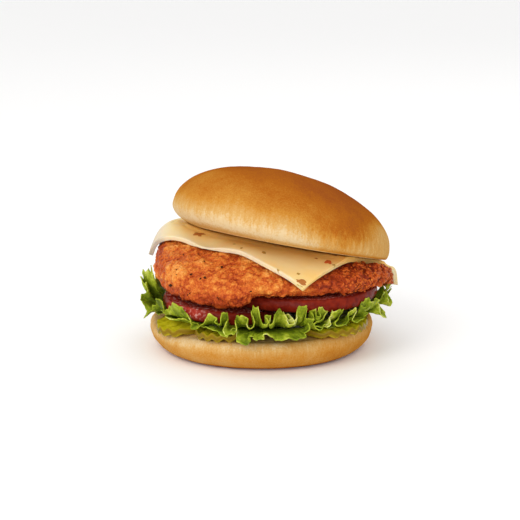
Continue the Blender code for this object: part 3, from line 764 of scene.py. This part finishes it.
points[:, 0] -= 0.12 * tucked * (1 - corner)
inward = 0.610 * (points[:, 0] + 64.5) + 0.793 * (points[:, 1] - 8.0)  # from the left front edge
along = 0.793 * (points[:, 0] + 64.5) - 0.610 * (points[:, 1] - 8.0)  # from the left corner to the front one
ripple = (1.1 * bump(along - 70.0, 7.0) - 2.0 * bump(along - 48.0, 7.0)) * smooth(12.0, 2.0, inward)
points += ripple[:, None] * (0.3, 0.4, 1.0)
moved = np.abs(ripple) > 0.1
clear = points[moved]
kept_outside(clear, "chicken_fillet", 0.9)
points[moved] = clear
crown_over = net_of("bun_crown")
from_crown = np.full(len(points), 99.0)
for i in np.flatnonzero(points[:, 2] > 36.0):
    here = Vector(points[i])
    from_crown[i] = crown_over.find_nearest(here)[3]
    place = crown_over.ray_cast(here, Vector((0, 0, 1)), CROWN_REACH)[0]
    if place and normals[i, 2] > 0.5:
        free = place.z - here.z
        pressed = smooth(CROWN_REACH, 1.2, free) * mix(0.6, 1.0, smooth(8.0, -6.0, here.x))
        points[i, 2] += max(free - CROWN_GAP, 0.0) * pressed
cheese_net = BVHTree.FromPolygons([Vector(p) for p in points.tolist()], faces)

cheese_look, tree, shader = new_material("cheese", Roughness=0.38, Specular_IOR_Level=0.03)
shader.inputs["Subsurface Weight"].default_value = 0.3
shader.inputs["Subsurface Radius"].default_value = (1.0, 0.6, 0.25)
shader.inputs["Subsurface Scale"].default_value = 3.0 * MM
cloud = sums(tree, "MULTIPLY", sums(tree, "SUBTRACT", grain(tree, 14.0, 3.0), 0.5), 0.35)
tone = sums(tree, "ADD", kept(tree, "pale"), cloud)
tree.links.new(ramp(tree, tone, CHEESE_COLOURS), shader.inputs["Base Color"])
relief(tree, shader, grain(tree, 2.0, 3.0), 0.08, 0.4)
# Paler on the rim of the left edges: partly the cheese's thin edge and partly a painted highlight. Paler towards
# the left. Darker amber close to the crown: painted shade. Paler under the crown's front on the left: painted
# light.
pale = 0.40 + 0.34 * smooth(0.75, 1.0, cheese_rim) * smooth(24.0, 12.0, points[:, 0])
pale += 0.30 * smooth(-26.0, -40.0, points[:, 0]) - 0.5 * smooth(9.0, 0.5, from_crown)
pale += 0.30 * smooth(-52.0, -34.0, points[:, 1]) * smooth(-48.0, -20.0, points[:, 0])
pale = np.minimum(pale, 0.80) + 0.26 * smooth(-42.0, -54.0, points[:, 0])
cheese = add_piece("cheese_sheet", points, faces, cheese_look, pale=pale)
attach(cheese, "root")
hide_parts("cheese_slice")


# The bits of red and green pepper in the cheese: thin chopped flakes that lie in its surface.
RED_BIT, BROWN_BIT, GREEN_BIT = (0.52, 0.095, 0.022), (0.38, 0.130, 0.026), (0.38, 0.205, 0.030)
BITS = (  # place across and along, width, length and colour
    (-30.5, -9.5, 6.0, 5.0, BROWN_BIT), (31.0, -36.0, 4.2, 4.2, RED_BIT), (1.0, -33.5, 2.4, 3.2, GREEN_BIT),
    (7.5, -47.5, 1.5, 1.8, GREEN_BIT), (17.0, -53.9, 4.2, 2.3, GREEN_BIT), (18.2, -51.7, 5.6, 2.4, BROWN_BIT),
    (-13.0, -25.5, 2.0, 1.8, GREEN_BIT), (-9.5, -31.5, 1.5, 1.8, GREEN_BIT), (17.0, -48.0, 2.0, 1.4, GREEN_BIT),
    (25.5, -33.5, 2.0, 1.6, BROWN_BIT), (35.0, -29.0, 1.6, 1.4, BROWN_BIT), (34.0, -38.0, 2.0, 1.6, GREEN_BIT),
    (-44.0, 12.0, 2.2, 1.6, GREEN_BIT), (6.0, 55.0, 3.2, 0.9, RED_BIT), (-14.0, 51.0, 2.0, 1.2, GREEN_BIT),
    (15.5, 56.5, 2.2, 0.8, GREEN_BIT), (60.0, 14.0, 2.4, 1.8, BROWN_BIT), (-32.0, 34.0, 2.4, 2.0, GREEN_BIT),
)

rings = 7
columns = 28
t = np.tile(round_of(columns), rings)
share = np.repeat(np.linspace(0.0, 1.0, rings + 1)[1:], columns)
bit_faces = rows_of_faces(rings, columns)
bit_faces += [(rings * columns, (i + 1) % columns, i) for i in range(columns)]
points, faces, colours = [], [], []
for across, along, width, length, colour in BITS:
    ring = np.stack([np.cos(t), np.sin(t), 0 * t + across], axis=1)
    out = share * (1 + 0.50 * lumps(ring, 0.8) + 0.30 * lumps(ring, 0.3))
    over = np.stack([across + 0.5 * width * out * np.cos(t), along + 0.5 * length * out * np.sin(t), 0 * t + 99], axis=1)
    over = np.vstack([over, (across, along, 99.0)])
    lift = np.append(0.10 - 0.16 * share**3, 0.10)
    faces += [tuple(i + len(points) for i in face) for face in bit_faces]
    for (x, y, z), off in zip(over.tolist(), lift):
        place, normal, _, _ = cheese_net.ray_cast(Vector((x, y, z)), Vector((0, 0, -1)))
        if not place:
            place, normal, _, _ = cheese_net.find_nearest(Vector((x, y, 42.0)))
        points.append(place + normal * off)
        colours.append(colour)
bit_look, tree, shader = new_material("pepper_bits", Roughness=0.4, Specular_IOR_Level=0.2)
bits = add_piece("pepper_bits", points, faces, bit_look)
paint = bits.data.attributes.new("paint", "FLOAT_COLOR", "POINT")
paint.data.foreach_set("color", np.column_stack([colours, np.ones(len(colours))]).astype(np.float32).ravel())
node = tree.nodes.new("ShaderNodeAttribute")
node.attribute_name = "paint"
tree.links.new(node.outputs["Color"], shader.inputs["Base Color"])
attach(bits, "root")


# The bun crown: the upper half of the bun, set down askew, so that it leans to the right and to the
# front. It is browned most on top, and pale with fine upright wrinkles above its cut edge. Its right
# side, most of all low down, is darker with painted shade, and its lowest edge is darker, partly a
# baked tan line and partly painted shade.
CROWN_CENTRE = (8.2, 0.0, 51.1)
CROWN_ROLL = 10.6
CROWN_PITCH = -11.7
CROWN_RADIUS = 54.1
CROWN_CUT_RADIUS = 44.6
CROWN_CUT_SHIFT = 8.0
CROWN_WIDEST_AT = 6.1
CROWN_WIDEST_DROP = 2.6
CROWN_HEIGHT = 35.5
CROWN_LEAN = 5.3
CROWN_BEND = 1.6

t = round_of(BUN_COLUMNS)
cut_out = CROWN_CUT_RADIUS + CROWN_CUT_SHIFT * np.cos(t)
widest = CROWN_WIDEST_AT - CROWN_WIDEST_DROP * np.cos(t)
rows = []  # for each row: distance from the middle, height, share of the lean, cut face
for share in np.linspace(0.05, 0.97, 16):
    rows.append((share * cut_out, 0 * t, 0 * t, 0 * t + 1))
for a in np.linspace(0.0, math.pi / 2, 28):
    rows.append((mix(cut_out, CROWN_RADIUS, math.sin(a)), widest * (1 - math.cos(a)), 0 * t, 0 * t + (a < 0.3)))
for a in np.linspace(0.0, math.pi / 2, 72)[1:-1]:
    up = mix(widest, CROWN_HEIGHT, math.sin(a))
    rows.append((0 * t + CROWN_RADIUS * math.cos(a), up, 0 * t + math.sin(a) ** 2, 0 * t))
out, up, lean, cut = (np.concatenate(column) for column in zip(*rows))
t = np.tile(t, len(rows))
x = out * np.cos(t) - CROWN_LEAN * lean
y = out * np.sin(t)
z = up + CROWN_BEND * ((x / CROWN_RADIUS) ** 2 - 0.5)
points = np.stack([x, y, z], axis=1)
outward = np.stack([np.cos(t) * out, np.sin(t) * out, 1.6 * (up - 5.0)], axis=1)
outward /= np.linalg.norm(outward, axis=1)[:, None]
around = np.stack([CROWN_RADIUS * np.cos(t), CROWN_RADIUS * np.sin(t), up * 0.14], axis=1)
wrinkled = (1 - smooth(7.0, 17.0, up)) * smooth(0.3, 2.0, up)
crust = 1 - cut
swell = 0.45 * lumps(points, 20.0) + 0.30 * lumps(around, 2.4) * wrinkled + 0.11 * lumps(points, 3.2)
points += outward * (swell * crust)[:, None]
streaks = lumps(around, 1.6)
browned_from = up + 1.2 * streaks + 5.5 * smooth(0.0, 22.0, x) - 11.5 * smooth(26.0, 52.0, x)
bake = mix(-0.02, 0.68, smooth(1.5, 19.0, browned_from)) + 0.28 * smooth(12.0, 36.0, up + 0.16 * x + 0.05 * y)
bake += 0.10 * lumps(points, 16.0, 5.0) * smooth(4.0, 14.0, up) + 0.05 * streaks * wrinkled
# Darker on the right, most of all low down: painted shade. Darker along the lowest edge: partly a baked tan line
# and partly painted shade.
bake += 0.22 * smooth(5.0, 40.0, x) * (1 - 1.1 * smooth(6.0, 16.0, up) * smooth(24.0, 44.0, x))
bake += 0.10 * smooth(10.0, 45.0, x) * (1 - smooth(8.0, 16.0, up))
bake += 0.32 * (1 - smooth(0.10, 0.45, up / np.tile(widest, len(rows))))
top = CROWN_HEIGHT + CROWN_BEND * ((CROWN_LEAN / CROWN_RADIUS) ** 2 - 0.5)
points = np.vstack([[0, 0, -0.5 * CROWN_BEND], points, [-CROWN_LEAN, 0, top]])
place = (
    Matrix.Translation(Vector(CROWN_CENTRE))
    @ Matrix.Rotation(math.radians(CROWN_ROLL), 4, "Y")
    @ Matrix.Rotation(math.radians(CROWN_PITCH), 4, "X")
)
points = points @ np.array(place)[:3, :3].T + np.array(place)[:3, 3]
crown = add_piece(
    "crown_bread",
    points,
    rows_of_faces(len(rows), BUN_COLUMNS, poles=True),
    bun_crust("crown_crust"),
    bake=np.concatenate([[0.2], bake, [0.9]]),
    cut=np.concatenate([[1.0], cut, [0.0]]),
    wrinkled=np.concatenate([[0.0], wrinkled, [0.0]]),
)
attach(crown, "root")
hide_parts("bun_crown")
